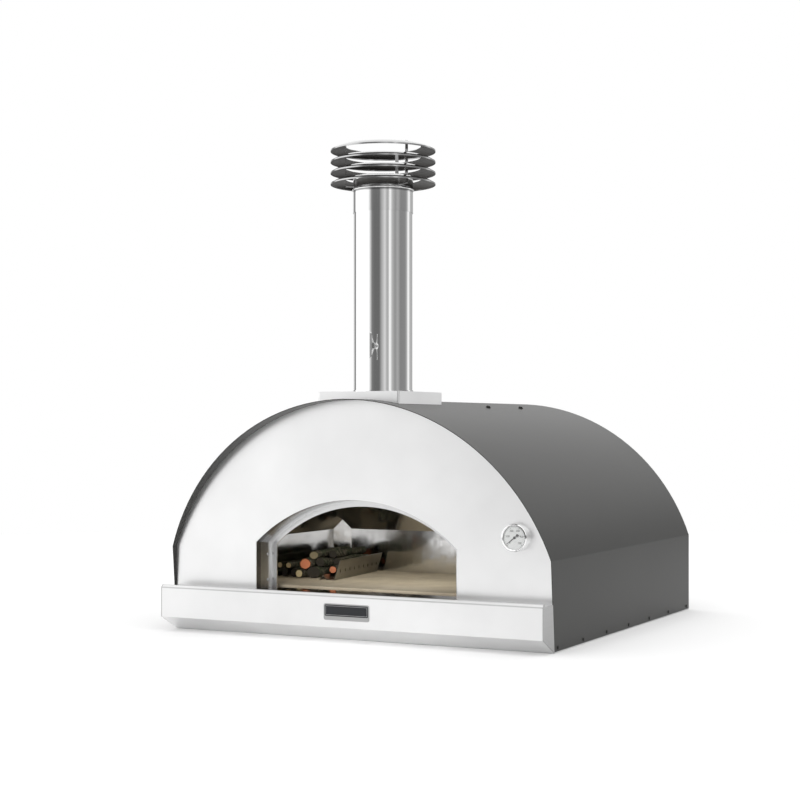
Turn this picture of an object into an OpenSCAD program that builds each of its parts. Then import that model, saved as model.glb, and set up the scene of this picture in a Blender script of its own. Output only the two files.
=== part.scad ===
// Wood fired pizza oven: an arched sheet-metal casing round an insulated steel chamber with a tiled floor.
// X runs across the oven, Y from the mouth to the back, Z up. The origin is the middle of the underside.

/* [Body] */
// Width over the painted shell
body_w = 1180; // [1000:10:1420]
// Depth of the shell, from its front edge at the spring line to its back edge
body_d = 1172; // [1000:1:1420]
// Height where the straight sides end and the arch begins
spring_z = 239; // [200:1:290]
// Height of the crown of the arch
crown_z = 661; // [600:1:800]
// How far the crown stands ahead of the spring line at the front edge
crown_reach = 36.5; // [10:0.5:60]
// Thickness of the shell, the panels and the shelf
sheet_t = 2; // [1.5:0.5:3]
// Clearance between pieces that are fitted together
fit = 0.3; // [0.2:0.1:0.5]

/* [Base and floor] */
// Thickness of the base tray
tray_t = 3; // [2:0.5:4]
// Height of the folded sides of the base tray
tray_side_h = 28; // [24:1:40]
// Height of the floor rails
rail_h = 55; // [40:1:80]
// Width of a floor rail
rail_w = 60; // [40:1:80]
// Thickness of the insulating board under the tiles
board_t = 40; // [30:1:60]
// Thickness of a refractory tile
tile_t = 30; // [25:1:40]
// Joint between two tiles
tile_joint = 1; // [0.5:0.5:3]
// Screws along each side of the base
side_screw_count = 7; // [5:1:9]

/* [Mouth] */
// Half the width of the opening in the front panel
mouth_hw = 314.5; // [280:0.5:330]
// Height where the arch of the opening begins
mouth_spring = 259; // [240:1:270]
// Height of the top of the opening
mouth_top = 384; // [360:1:400]
// Recess of the front panel behind the shell's front edge
panel_recess = 16.5; // [14:0.5:24]
// Depth of the reveal, from the panel to the inner flange
reveal_d = 57.5; // [40:0.5:80]
// How much the reveal narrows on each side towards the flange
reveal_taper = 14.5; // [8:0.5:20]
// How much the reveal drops at its top towards the flange
reveal_drop = 4; // [2:0.5:8]
// Width of the flange's bright edge
flange_w = 16.5; // [12:0.5:24]

/* [Front shelf] */
// How far the shelf stands out from the shell
shelf_out = 55.8; // [40:0.1:90]
// Height of the shelf's surface
shelf_z = 126; // [120:1:140]
// Height of the hem above the shelf's surface
hem_h = 6.5; // [4:0.5:10]
// Height where the shelf's front face turns under
shelf_turn_z = 41; // [30:1:60]
// Width of the name plate
plate_w = 140; // [100:1:180]
// Height of the name plate
plate_h = 45; // [30:1:60]
// Distance of the name plate from the middle
plate_x = 18; // [-40:1:60]

/* [Chamber] */
// Half the width inside the chamber
chamber_hw = 400; // [370:1:430]
// Depth inside the chamber
chamber_d = 572; // [520:1:650]
// Height of the fold between the walls and the sloping roof
fold_z = 260; // [245:1:280]
// Height of the flat roof
roof_z = 440; // [425:1:480]
// Rise of the sloping roof for each unit of run
roof_pitch = 1.4; // [1.2:0.1:1.8]
// Cut across the back corners
corner_cut = 42; // [20:1:60]
// Distance from the front wall to the first tile
sill_d = 44; // [30:1:70]

/* [Flue] */
// Distance of the flue's centre behind the shell's front edge
flue_y = 190; // [180:1:260]
// Outer radius of the flue pipe
pipe_r = 83.3; // [75:0.1:90]
// Wall of the flue pipe
pipe_t = 1.5; // [1:0.5:2.5]
// Length of the flue pipe above its base box
pipe_l = 557; // [400:1:900]
// Width of the flue base box
box_w = 254; // [220:1:300]
// Depth of the flue base box
box_d = 271; // [240:1:300]
// Height of the flue base box above the crown of the shell
box_up = 22; // [14:1:60]
// Length of the cap's sleeve below the pipe's top edge
sleeve_down = 50; // [40:1:90]
// Height of the bead round the sleeve above the pipe's top edge
bead_up = 15.5; // [12:0.5:22]

/* [Cap] */
// Outer radius of a cap ring
ring_r = 149; // [135:1:170]
// Inner radius of a cap ring
ring_hole_r = 107.3; // [104:0.1:115]
// Rise of a ring from its outer to its inner edge
ring_rise = 13; // [8:0.5:16]
// Height of the outer edge of the lowest ring above the pipe's top edge
ring_up = 33; // [30:1:45]
// Distance between two rings
ring_pitch = 31.3; // [26:0.1:40]
// Width of a strut
strut_w = 10; // [8:1:14]

/* [Damper] */
// Height of the damper's spindle above the flue base box
damper_up = 127; // [107:1:217]
// Direction of the handle, counted from +X
damper_angle = -77; // [-110:1:-60]
// Radius of the spindle
spindle_r = 4; // [3:0.5:5]
// Running clearance of the spindle in its boss, on the radius
run_fit = 0.05; // [0.02:0.01:0.1]
// Height of the handle's grip
grip_h = 66; // [50:1:80]
// Reach of the grip from the pipe
grip_reach = 52; // [40:1:70]

/* [Thermometer] */
// Distance of the thermometer from the middle
gauge_x = 488; // [470:1:495]
// Height of the thermometer's centre
gauge_z = 297; // [285:1:305]
// Radius of the bezel
bezel_r = 36.5; // [30:0.5:40]
// How far the thermometer stands out from the panel
gauge_out = 27; // [20:1:35]
// Direction of the needle at rest, counted clockwise from the top
needle_angle = 232; // [215:1:240]

/* [Log guard and logs] */
// Length of the log guard
guard_l = 330; // [280:1:340]
// Height of the log guard
guard_h = 59; // [45:1:70]
// How far the guard's top leans out
guard_lean = 19; // [5:1:30]
// Slots along the guard
slot_count = 9; // [5:1:12]
// Distance of the guard's front foot left of the middle
guard_x = 222; // [200:1:230]
// Distance of the guard's front end behind the shell's front edge
guard_y = 303; // [280:1:303]
// Turn of the guard about the vertical
guard_turn = 5.8; // [4:0.1:6]

/* [Hidden] */
$fn = 96;
big = 3000;

half_w = body_w / 2;
// The shell and the shelf together are centred on the origin
front_y = (shelf_out - body_d) / 2;
back_y = front_y + body_d;
lean = crown_reach / (crown_z - spring_z);
panel_y = front_y + panel_recess;
panel_back = panel_y + sheet_t;
base_front = front_y + lean * spring_z;

arch_h = crown_z - spring_z;
arch_r = (half_w * half_w + arch_h * arch_h) / (2 * arch_h);
arch_cz = crown_z - arch_r;

// Heights of the floor stack
floor_tray_z = tray_t + rail_h;
board_z = floor_tray_z + sheet_t;
tile_z = board_z + board_t;
floor_z = tile_z + tile_t;
sill_z = shelf_z;
sill_under = sill_z - sheet_t;

reveal_y = panel_back + fit;
flange_y = reveal_y + reveal_d - fit;
chamber_y = flange_y + sheet_t + fit;
inside_y = chamber_y + sheet_t;
chamber_back = inside_y + chamber_d;
tile_y = inside_y + sill_d;
// Half width, spring line and top of the mouth where the reveal meets the flange, and inside the flange
rear_hw = mouth_hw - reveal_taper;
rear_top = mouth_top - reveal_drop;
rear_spring = mouth_spring - reveal_drop;
throat_hw = rear_hw - flange_w;
throat_top = rear_top - flange_w;
throat_spring = rear_spring - reveal_drop;

flue_c = front_y + flue_y;
box_top = crown_z + box_up;
pipe_top = box_top + pipe_l;
sleeve_z = pipe_top - sleeve_down;
bead_z = pipe_top + bead_up;
ring_z = pipe_top + ring_up;
damper_z = box_top + damper_up;
throat_r = pipe_r - pipe_t - fit;
sleeve_t = 1.5;
sleeve_in_r = pipe_r + fit;
sleeve_r = sleeve_in_r + sleeve_t;
boss_l = 14;
boss_r = 9;
grip_r = pipe_r + grip_reach;
wire_r = 2.2;

case_r = bezel_r - 2.5;
case_in_r = case_r - 2;
case_front = panel_y - gauge_out + 2.5;
dial_y = case_front + 6;
dial_t = 1;
case_cavity = 14;
spacer_l = case_front + case_cavity - dial_y - dial_t;
needle_y = dial_y - 2.4;
probe_r = 3;
probe_x = rear_hw + 45;
probe_turn_y = (panel_back + chamber_y) / 2;

// One log: x, y and z of its front end, x, y and z of its back end, and its radius; y is counted from the
// shell's front edge and z from the tiles
LOGS = [
    [-350.5, 312, 13.3, -358, 545, 13.3, 13],
    [-381.5, 340, 14.3, -384.5, 500, 14.3, 14],
    [-309, 330, 18.3, -326, 560, 18.3, 18],
    [-385, 309, 38.2, -387, 500, 38.2, 9.5],
    [-333, 322, 44.2, -344, 570, 49.8, 17],
    [-258, 352, 26.2, -279, 590, 26.2, 12],
    [-293, 345, 46, -303, 590, 39.5, 14],
    [-315, 340, 68.2, -325, 575, 73.4, 13],
    [-262, 385, 49.6, -276, 600, 49.4, 11],
    [-282, 400, 68.6, -290, 606, 69.4, 13]];

// ---- shapes used by several pieces ----

// Extrudes an outline drawn in X and Z from one Y to another
module along_y(y0, y1) {
    translate([0, y1, 0])
        rotate([90, 0, 0])
            linear_extrude(y1 - y0)
                children();
}

// Extrudes an outline drawn in Y and Z from one X to another
module along_x(x0, x1) {
    translate([x0, 0, 0])
        rotate([90, 0, 90])
            linear_extrude(x1 - x0)
                children();
}

// Round bar along Y
module bar_y(x, y0, y1, z, r) {
    translate([x, y1, z])
        rotate([90, 0, 0])
            cylinder(h = y1 - y0, r = r);
}

// Round bar along X
module bar_x(x0, x1, y, z, r) {
    translate([x0, y, z])
        rotate([0, 90, 0])
            cylinder(h = x1 - x0, r = r);
}

// Outline of the casing: straight sides under one circular arch, set in from the outside by inset
module casing_2d(inset, z0) {
    intersection() {
        union() {
            translate([0, arch_cz])
                circle(r = arch_r - inset, $fn = 360);
            translate([inset - half_w, z0])
                square([body_w - 2 * inset, spring_z - inset - z0]);
        }
        translate([inset - half_w, z0])
            square([body_w - 2 * inset, crown_z]);
    }
}

// Outline of a mouth: straight jambs under one circular arch
module mouth_2d(hw, z0, spring, top) {
    h = top - spring;
    r = (hw * hw + h * h) / (2 * h);
    intersection() {
        translate([0, top - r])
            circle(r = r, $fn = 360);
        translate([-hw, z0])
            square([2 * hw, top]);
    }
}

// Points along the mouth's outline, from the foot of the right jamb over the top to the left foot
function mouth_points(hw, z0, spring, top, steps) =
    let(h = top - spring, r = (hw * hw + h * h) / (2 * h), a = asin(hw / r))
    concat([[hw, z0]], [for (i = [0:steps]) let(t = a - 2 * a * i / steps)
        [r * sin(t), top - r + r * cos(t)]], [[-hw, z0]]);

// Moves a path to its right by t, with mitred corners
function unit(v) = v / norm(v);
function right_of(v) = [v[1], -v[0]];
function side_path(p, t) = [for (i = [0:len(p) - 1])
    let(a = right_of(unit(i == 0 ? p[1] - p[0] : p[i] - p[i - 1])),
        b = right_of(unit(i == len(p) - 1 ? p[i] - p[i - 1] : p[i + 1] - p[i])),
        m = unit(a + b))
    p[i] + m * t / (m * a)];
function reversed(p) = [for (i = [len(p) - 1:-1:0]) p[i]];

// Folded sheet: a path with the sheet's thickness on its right
module folded_2d(path, t) {
    polygon(concat(path, reversed(side_path(path, t))));
}

// Rectangle with round corners, centred
module rounded_2d(w, d, r) {
    square([w - 2 * r, d], center = true);
    square([w, d - 2 * r], center = true);
    for (x = [-1, 1], y = [-1, 1])
        translate([x * (w / 2 - r), y * (d / 2 - r)])
            circle(r = r);
}

// Pan-head screw along +Z: its head starts at 0 and its shank goes down
module screw(head_r, head_h, shank_r, shank_l) {
    cylinder(h = head_h * 0.6, r = head_r, $fn = 32);
    translate([0, 0, head_h * 0.6])
        cylinder(h = head_h * 0.4, r = head_r * 0.75, $fn = 32);
    translate([0, 0, -shank_l])
        cylinder(h = shank_l, r = shank_r, $fn = 32);
}

// Round wire between two points
module wire(a, b, r, sides = 24) {
    d = b - a;
    translate(a)
        rotate([0, acos(d[2] / norm(d)), atan2(d[1], d[0])])
            cylinder(h = norm(d), r = r, $fn = sides);
}

// Frame of the damper: +X along the spindle towards the handle, origin at the crossing with the pipe's axis
module damper_frame() {
    translate([0, flue_c, damper_z])
        rotate([0, 0, damper_angle])
            children();
}

// Frame of the thermometer: +Z out of the front panel, +Y up
module gauge_frame(y) {
    translate([gauge_x, y, gauge_z])
        rotate([90, 0, 0])
            children();
}

// Clears the place of the flue in a roof or a lid
module flue_hole(r) {
    translate([0, flue_c, 0])
        cylinder(h = big, r = r);
}

// ---- base and floor ----

function side_screw_y(i) = base_front + 24 + i * (body_d - 24 - 26 - lean * spring_z) / (side_screw_count - 1);
side_screw_z = tray_t + fit + 9;
side_screw_r = 2;

module side_screw_row(r, l) {
    for (s = [-1, 1], i = [0:side_screw_count - 1])
        bar_x(s * half_w - l, s * half_w + l, side_screw_y(i), side_screw_z, r);
}

module base_tray() {
    inner = half_w - sheet_t - fit;
    color("gainsboro") difference() {
        union() {
            translate([-half_w, base_front, 0])
                cube([body_w, back_y - base_front, tray_t]);
            for (s = [-1, 1])
                along_y(base_front + 2, back_y - 20)
                    translate([s * (inner - sheet_t / 2) - sheet_t / 2, 0])
                        square([sheet_t, tray_side_h]);
        }
        side_screw_row(side_screw_r + fit, 12);
    }
}

module floor_rails() {
    y0 = chamber_y - 10;
    y1 = back_y - 60;
    color("silver") for (i = [-1:1])
        translate([i * (half_w - 120), 0, 0])
            along_y(y0, y1)
                folded_2d([[-rail_w / 2 - 15, tray_t + sheet_t], [-rail_w / 2, tray_t + sheet_t],
                    [-rail_w / 2, tray_t + rail_h], [rail_w / 2, tray_t + rail_h],
                    [rail_w / 2, tray_t + sheet_t], [rail_w / 2 + 15, tray_t + sheet_t]], sheet_t);
}

module floor_tray() {
    color("silver") translate([8 - half_w, chamber_y - 10, floor_tray_z])
        cube([body_w - 16, back_y - 30 - chamber_y + 10, sheet_t]);
}

module floor_board() {
    color("ivory") difference() {
        translate([-chamber_hw + fit, inside_y + fit, board_z])
            cube([2 * (chamber_hw - fit), chamber_d - 2 * fit, board_t]);
        corner_cuts(fit);
    }
}

module floor_tiles() {
    w = (2 * chamber_hw - 3 * tile_joint) / 2;
    d = (chamber_back - tile_y - 2 * tile_joint) / 2;
    color("burlywood") difference() {
        for (i = [0, 1], j = [0, 1])
            translate([-chamber_hw + tile_joint + i * (w + tile_joint), tile_y + j * (d + tile_joint), tile_z])
                cube([w, d, tile_t]);
        corner_cuts(fit);
    }
}

// The two triangles cut off the chamber's back corners, grown inwards by g
module corner_cuts(g) {
    reach = corner_cut + g * sqrt(2);
    for (s = [-1, 1])
        translate([0, 0, tray_t])
            linear_extrude(crown_z)
                polygon([[s * chamber_hw, chamber_back - reach], [s * (chamber_hw + 50), chamber_back - reach - 50],
                    [s * (chamber_hw + 50), chamber_back + 50], [s * (chamber_hw - reach - 50), chamber_back + 50],
                    [s * (chamber_hw - reach), chamber_back]]);
}

// ---- casing ----

// Cuts away what stands ahead of the shell's leaning front edge
module front_lean_cut() {
    along_x(-big / 2, big / 2)
        polygon([[front_y + lean * spring_z, 0], [front_y - lean * (big - spring_z), big],
            [-big, big], [-big, -big], [front_y + lean * (spring_z + big), -big]]);
}

module outer_shell() {
    bottom = tray_t + fit;
    color("dimgray") difference() {
        along_y(front_y - 2 * crown_reach, back_y)
            casing_2d(0, bottom);
        along_y(front_y - big, back_y + big)
            casing_2d(sheet_t, -1);
        front_lean_cut();
        flue_hole(pipe_r + 12);
        side_screw_row(side_screw_r + fit, 12);
        for (s = [-1, 1], y = stud_y())
            on_arch(s * stud_x, y)
                cylinder(h = 20, r = 3 + fit, center = true);
    }
}

module side_screws() {
    color("dimgray") for (s = [-1, 1], i = [0:side_screw_count - 1])
        translate([s * half_w, side_screw_y(i), side_screw_z])
            rotate([0, s * 90, 0])
                screw(5, 2.6, side_screw_r, 6);
}

// Studs on both sides of the crown
stud_x = 150;
function stud_y() = [back_y - 589, back_y - 341];

// Stands a piece on the arch, square to it
module on_arch(x, y) {
    translate([0, y, arch_cz])
        rotate([0, asin(x / arch_r), 0])
            translate([0, 0, arch_r])
                children();
}

module crown_studs() {
    color("dimgray") for (s = [-1, 1], y = stud_y())
        on_arch(s * stud_x, y)
            screw(7, 6, 3, sheet_t + 3);
}

back_inset = sheet_t + fit;
back_plate_y = back_y - 12;
// Angle from the end of the arch to the last of its nine screws
back_screw_end = 7.148812;
back_screw_turn = (asin(half_w / arch_r) - back_screw_end) / 4;
function back_screw_at(i) = let(a = (i - 4) * back_screw_turn, r = arch_r - 22)
    [r * sin(a), arch_cz + r * cos(a)];

module back_panel() {
    color("dimgray") difference() {
        union() {
            along_y(back_plate_y - sheet_t, back_plate_y)
                casing_2d(back_inset, tray_t + fit);
            difference() {
                along_y(back_plate_y - 16, back_plate_y)
                    casing_2d(back_inset, tray_side_h + fit);
                along_y(back_plate_y - 17, back_plate_y + 1)
                    casing_2d(back_inset + sheet_t, tray_side_h + fit + sheet_t);
            }
        }
        for (i = [0:8])
            bar_y(back_screw_at(i)[0], back_plate_y - 5, back_plate_y + 5, back_screw_at(i)[1], 2.5);
    }
}

module back_screws() {
    color("silver") for (i = [0:8])
        translate([back_screw_at(i)[0], back_plate_y, back_screw_at(i)[1]])
            rotate([-90, 0, 0])
                screw(5, 2.6, 2.2, 8);
}

module front_panel() {
    bottom = shelf_turn_z;
    color("whitesmoke") difference() {
        union() {
            along_y(panel_y, panel_back)
                casing_2d(back_inset, bottom);
            difference() {
                along_y(panel_y, panel_back + 14)
                    casing_2d(back_inset, bottom);
                along_y(panel_y - 1, panel_back + 15)
                    casing_2d(back_inset + sheet_t, bottom - 1);
            }
        }
        along_y(panel_y - 5, panel_back + 5)
            mouth_2d(mouth_hw, sill_under - fit, mouth_spring, mouth_top);
        bar_y(gauge_x, panel_y - 5, panel_back + 5, gauge_z, probe_r + fit);
    }
}

// ---- mouth ----

reveal_t = 1.5;
reveal_steps = 40;

// Splayed wall between the panel and the flange: one ring of points in front, one behind, each with its outside
module mouth_reveal() {
    z0 = sill_z + fit;
    front_in = mouth_points(mouth_hw, z0, mouth_spring, mouth_top, reveal_steps);
    back_in = mouth_points(rear_hw, z0, rear_spring, rear_top, reveal_steps);
    front_out = mouth_points(mouth_hw + reveal_t, z0, mouth_spring + reveal_t / 2, mouth_top + reveal_t, reveal_steps);
    back_out = mouth_points(rear_hw + reveal_t, z0, rear_spring + reveal_t / 2, rear_top + reveal_t, reveal_steps);
    n = len(front_in);
    points = concat(
        [for (p = front_in) [p[0], reveal_y, p[1]]],
        [for (p = front_out) [p[0], reveal_y, p[1]]],
        [for (p = back_out) [p[0], flange_y, p[1]]],
        [for (p = back_in) [p[0], flange_y, p[1]]]);
    // Rings follow each other round the wall's section, so each quad joins one ring to the next
    sides = [for (k = [0:3], i = [0:n - 2])
        let(a = k * n + i, b = ((k + 1) % 4) * n + i)
        each [[a, a + 1, b + 1], [a, b + 1, b]]];
    ends = [[0, n, 2 * n], [0, 2 * n, 3 * n], [n - 1, 4 * n - 1, 3 * n - 1], [n - 1, 3 * n - 1, 2 * n - 1]];
    color("silver") polyhedron(points = points, faces = concat(sides, ends));
}

// Rivets through the reveal's jambs, one above the other
rivet_z = [sill_z + 24, sill_z + 96];
module reveal_rivets() {
    y = (reveal_y + flange_y) / 2 + 14;
    hw = mouth_hw - reveal_taper * (y - reveal_y) / reveal_d;
    color("gray") for (s = [-1, 1], z = rivet_z)
        translate([s * (hw - 0.1), y, z])
            rotate([0, -s * 90, s * atan(reveal_taper / reveal_d)])
                cylinder(h = 2, r1 = 4, r2 = 2.5, $fn = 32);
}

module mouth_flange() {
    color("lightgray") difference() {
        along_y(flange_y, flange_y + sheet_t)
            mouth_2d(rear_hw + 20, sill_z + fit, rear_spring + 10, rear_top + 18);
        along_y(flange_y - 1, flange_y + sheet_t + 1)
            mouth_2d(throat_hw, sill_under - fit, throat_spring, throat_top);
    }
}

module sill_plate() {
    color("silver") {
        translate([0, 0, sill_under])
            linear_extrude(sheet_t)
                polygon([[-mouth_hw + fit, panel_y], [mouth_hw - fit, panel_y], [rear_hw + 8, flange_y],
                    [rear_hw + 8, flange_y + sheet_t], [throat_hw - fit, flange_y + sheet_t],
                    [throat_hw - fit, tile_y - fit], [-throat_hw + fit, tile_y - fit],
                    [-throat_hw + fit, flange_y + sheet_t], [-rear_hw - 8, flange_y + sheet_t],
                    [-rear_hw - 8, flange_y]]);
        translate([-throat_hw + fit, tile_y - fit - sheet_t, tile_z + fit])
            cube([2 * (throat_hw - fit), sheet_t, sill_under - tile_z - fit]);
    }
}

// ---- front shelf ----

shelf_y = front_y - shelf_out;
shelf_path = [[base_front - 1.6, 0.6], [shelf_y, shelf_turn_z], [shelf_y, sill_z - 0.5],
    [shelf_y + hem_h + 0.5, sill_z + hem_h], [shelf_y + 11.5, sill_z + hem_h], [shelf_y + 11.5, sill_z],
    [panel_y - fit, sill_z]];

module front_shelf() {
    reach = half_w - sheet_t - fit;
    color("whitesmoke") along_x(-reach, reach)
        folded_2d(shelf_path, sheet_t);
}

// The cap closes the shelf's end, flush with the shell, and follows the shell's leaning edge
module shelf_cap(s) {
    top_y = front_y + lean * (spring_z - sill_z) - fit;
    foot_y = front_y + lean * (spring_z - tray_t) - fit;
    x = s * (half_w - sheet_t / 2);
    color("darkgray") along_x(x - sheet_t / 2, x + sheet_t / 2)
        polygon([[foot_y - 3, tray_t], shelf_path[1], shelf_path[2], shelf_path[3], shelf_path[4],
            [shelf_path[5][0], sill_z], [top_y, sill_z], [foot_y, tray_t]]);
}

plate_t = 1.6;
plate_z = (shelf_turn_z + sill_z) / 2;

module name_plate() {
    color("silver") translate([plate_x, 0, plate_z]) difference() {
        along_y(shelf_y - plate_t, shelf_y)
            rounded_2d(plate_w, plate_h, 6);
        along_y(shelf_y - plate_t - 1, shelf_y - plate_t / 2)
            translate([0, 4])
                rounded_2d(plate_w - 6 + fit, plate_h - 14 + fit, 4);
    }
}

module name_plate_inset() {
    color("darkslategray") translate([plate_x, 0, plate_z + 4])
        along_y(shelf_y - plate_t + 0.2, shelf_y - plate_t / 2)
            rounded_2d(plate_w - 6, plate_h - 14, 4);
}

// ---- chamber ----

// Solid of the chamber, grown by g on every side but its foot, with its front plane at y0
module chamber_solid(g, y0, z0) {
    hw = chamber_hw + g;
    run = (roof_z - fold_z) / roof_pitch;
    intersection() {
        along_y(y0, chamber_back + g)
            polygon([[-hw, z0], [hw, z0], [hw, fold_z], [hw - run, roof_z + g], [run - hw, roof_z + g], [-hw, fold_z]]);
        along_x(-hw, hw)
            polygon([[y0, z0], [chamber_back + g, z0], [chamber_back + g, fold_z],
                [chamber_back + g - run, roof_z + g], [y0, roof_z + g]]);
    }
}

module chamber_walls() {
    color("slategray") difference() {
        chamber_solid(sheet_t, chamber_y, board_z);
        difference() {
            chamber_solid(0, inside_y, board_z - 1);
            corner_cuts(0);
        }
        corner_cuts(-sheet_t);
        along_y(chamber_y - 5, inside_y + 5)
            mouth_2d(throat_hw, sill_under - fit, throat_spring, throat_top);
        flue_hole(throat_r + 2);
        bar_y(probe_x, chamber_y - 5, inside_y + 5, gauge_z, probe_r + fit);
    }
}

insulation_gap = 1;

module insulation() {
    color("khaki") difference() {
        along_y(chamber_y + 4, back_plate_y - 17)
            casing_2d(sheet_t + 4, board_z + fit);
        chamber_solid(sheet_t + insulation_gap, chamber_y - 1, board_z - 1);
        flue_hole(throat_r + 26);
    }
}

// ---- flue ----

module flue_throat() {
    foot = roof_z + sheet_t;
    color("silver") translate([0, flue_c, 0]) difference() {
        union() {
            translate([0, 0, foot])
                cylinder(h = sheet_t, r = throat_r + 20);
            translate([0, 0, foot])
                cylinder(h = box_top + 40 - foot, r = throat_r);
        }
        cylinder(h = big, r = throat_r - sheet_t);
    }
}

module flue_base() {
    h = 60;
    cy = front_y + 41 + box_d / 2;
    color("gainsboro") difference() {
        translate([0, cy, box_top - h])
            linear_extrude(h)
                rounded_2d(box_w, box_d, 5);
        translate([0, cy, box_top - h - 1])
            linear_extrude(h + 1 - sheet_t)
                rounded_2d(box_w - 2 * sheet_t, box_d - 2 * sheet_t, 3);
        bar_y(0, front_y - 100, front_y + body_d, arch_cz, arch_r + fit, $fn = 360);
        flue_hole(throat_r + fit);
    }
}

module flue_pipe() {
    color("gainsboro") difference() {
        union() {
            translate([0, flue_c, box_top])
                cylinder(h = pipe_top - box_top, r = pipe_r);
            translate([0, flue_c, box_top])
                cylinder(h = 5, r = pipe_r + 2.5);
        }
        translate([0, flue_c, 0])
            cylinder(h = big, r = pipe_r - pipe_t);
        damper_frame()
            bar_x(-pipe_r - 9, pipe_r + 9, 0, 0, spindle_r + 0.5);
    }
}

// A bush stands on the pipe, with its foot cut to the pipe's curve
module pipe_bush(side, r, l) {
    difference() {
        damper_frame()
            bar_x(side > 0 ? pipe_r - 2 : -pipe_r - l, side > 0 ? pipe_r + l : 2 - pipe_r, 0, 0, r);
        translate([0, flue_c, 0])
            cylinder(h = big, r = pipe_r + 0.05);
        damper_frame()
            bar_x(-pipe_r - 50, pipe_r + 50, 0, 0, spindle_r + run_fit);
    }
}

module damper_boss() {
    color("gainsboro") pipe_bush(1, boss_r, boss_l);
}

module damper_bush() {
    color("gainsboro") pipe_bush(-1, boss_r - 1, boss_l / 2);
}

// The disc lies against the side of the spindle
module damper_plate() {
    plate_r = pipe_r - pipe_t - 4;
    color("silver") damper_frame()
        translate([0, -spindle_r, 0])
            rotate([90, 0, 0])
                cylinder(h = sheet_t, r = plate_r);
}

module damper_spindle() {
    color("silver") damper_frame() {
        bar_x(-pipe_r - boss_l / 2 - 2, pipe_r + boss_l + 12, 0, 0, spindle_r);
        bar_x(-pipe_r - boss_l / 2 - 5, -pipe_r - boss_l / 2 - 2, 0, 0, spindle_r + 2);
    }
}

module damper_handle() {
    hub_x = pipe_r + boss_l + 1;
    hub_l = 9;
    leg_z = grip_h / 2;
    grip_x = grip_r;
    color("silver") damper_frame() {
        difference() {
            bar_x(hub_x, hub_x + hub_l, 0, 0, spindle_r + 3.5);
            bar_x(hub_x - 1, hub_x + hub_l + 1, 0, 0, spindle_r + run_fit);
        }
        for (s = [-1, 1]) {
            wire([hub_x + hub_l / 2, 0, s * (spindle_r + 2)], [grip_x, 0, s * leg_z], wire_r);
            translate([grip_x, 0, s * leg_z])
                sphere(r = wire_r * 1.6, $fn = 32);
        }
        translate([grip_x, 0, -leg_z])
            cylinder(h = grip_h, r = wire_r * 1.6, $fn = 32);
    }
}

// ---- cap ----

strut_r = ring_hole_r - fit - 2;
strut_foot = sleeve_foot_z();
function sleeve_foot_z() = bead_z + 8;
function strut_angle(i) = -144.4 + 120 * i;
strut_top = ring_z + 3 * ring_pitch + ring_rise + 4;

module cap_sleeve() {
    top = ring_z + ring_rise + 4;
    color("gainsboro") translate([0, flue_c, 0]) {
        difference() {
            translate([0, 0, sleeve_z])
                cylinder(h = top - sleeve_z, r = sleeve_r);
            translate([0, 0, sleeve_z - 1])
                cylinder(h = top - sleeve_z + 2, r = sleeve_in_r);
        }
        translate([0, 0, bead_z])
            rotate_extrude()
                translate([sleeve_r, 0])
                    intersection() {
                        circle(r = 3, $fn = 32);
                        translate([-0.5, -4]) square([5, 8]);
                    }
        // Stop that seats the sleeve on the pipe's top edge
        translate([0, 0, pipe_top]) difference() {
            cylinder(h = 2, r = sleeve_in_r + 0.5);
            translate([0, 0, -1]) cylinder(h = 4, r = pipe_r - pipe_t);
        }
    }
}

// Umbrella ring: its section rises inwards along a shallow arc, with a lip turned down at its outer edge
ring_t = 1.5;
ring_lip = 2.5;
ring_steps = 6;
function ring_path(t) = [for (i = [0:ring_steps]) let(u = i / ring_steps)
    [ring_r - u * (ring_r - ring_hole_r), ring_rise * (1 - (1 - u) * (1 - u)) + t]];

module cap_ring(i) {
    color("gainsboro") translate([0, flue_c, ring_z + i * ring_pitch])
        rotate_extrude()
            polygon(concat([[ring_r, -ring_lip], [ring_r - ring_t, -ring_lip], [ring_r - ring_t, 0.5]],
                [for (p = ring_path(0)) if (p[0] < ring_r - ring_t) p], reversed(ring_path(ring_t))));
}

module cap_struts() {
    color("gainsboro") translate([0, flue_c, 0]) for (i = [0:2])
        rotate([0, 0, strut_angle(i)]) {
            translate([strut_r, -strut_w / 2, strut_foot])
                cube([2, strut_w, strut_top - strut_foot]);
            translate([sleeve_r + 0.1, -strut_w / 2, strut_foot])
                cube([strut_r - sleeve_r, strut_w, 2]);
        }
}

// ---- thermometer ----

module thermometer_case() {
    depth = panel_y - case_front;
    color("silver") gauge_frame(panel_y) difference() {
        cylinder(h = depth, r = case_r);
        translate([0, 0, depth - case_cavity])
            cylinder(h = case_cavity + 1, r = case_in_r);
        translate([0, 0, -1])
            cylinder(h = depth, r = probe_r + fit);
    }
}

// The bezel grips the case and holds the glass
module thermometer_bezel() {
    depth = panel_y - case_front;
    color("silver") gauge_frame(panel_y)
        rotate_extrude()
            polygon([[case_r + fit / 2, depth - 8], [bezel_r, depth - 8], [bezel_r, depth + 0.5],
                [bezel_r - 1.5, depth + 2.2], [bezel_r - 3.5, depth + 2.5], [case_in_r - 1, depth + 0.6],
                [case_in_r - 1, depth + 0.1], [case_r + fit / 2, depth + 0.1]]);
}

module thermometer_dial() {
    color("white") gauge_frame(dial_y + dial_t) {
        difference() {
            cylinder(h = dial_t, r = case_in_r - fit / 2);
            translate([0, 0, -1])
                cylinder(h = dial_t + 2, r = 1 + run_fit, $fn = 32);
        }
        // Spacer that carries the dial on the bottom of the case
        translate([0, 0, -spacer_l])
            difference() {
                cylinder(h = spacer_l, r = 8);
                translate([0, 0, -1])
                    cylinder(h = spacer_l + 2, r = probe_r + 1);
            }
    }
}

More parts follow.
